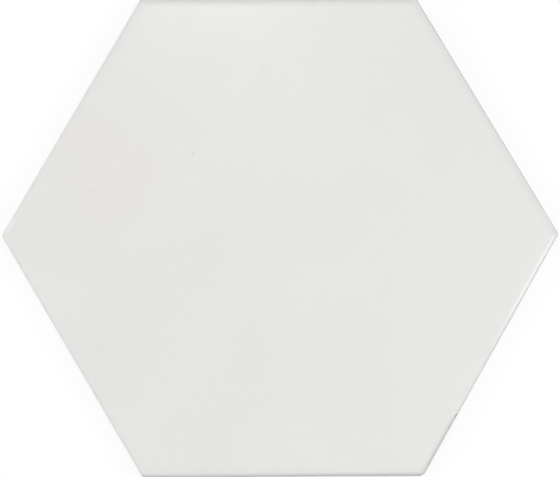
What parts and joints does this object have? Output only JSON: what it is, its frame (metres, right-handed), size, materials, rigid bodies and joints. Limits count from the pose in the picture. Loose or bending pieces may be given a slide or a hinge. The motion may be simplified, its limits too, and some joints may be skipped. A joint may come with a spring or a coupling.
{
  "type": "hexagon floor tile",
  "caption": "Regular hexagonal glazed floor tile in plain white, with a softly cushioned edge and a shallow honeycomb key pattern on its back.",
  "frame": {"origin": "centre of the back, on the plane that the tile lies on", "axes": "+Z out of the glazed face, +X towards one corner, +Y out of one side"},
  "size_m": [0.2016, 0.175, 0.009],
  "materials": {
    "glazed_body": "smooth white glaze with a satin gloss on the face and its rounded edge, bare fired clay on the sides and back"
  },
  "bodies": {
    "root": {"hexagon_tile": "glazed_body"}
  },
  "joints": []
}
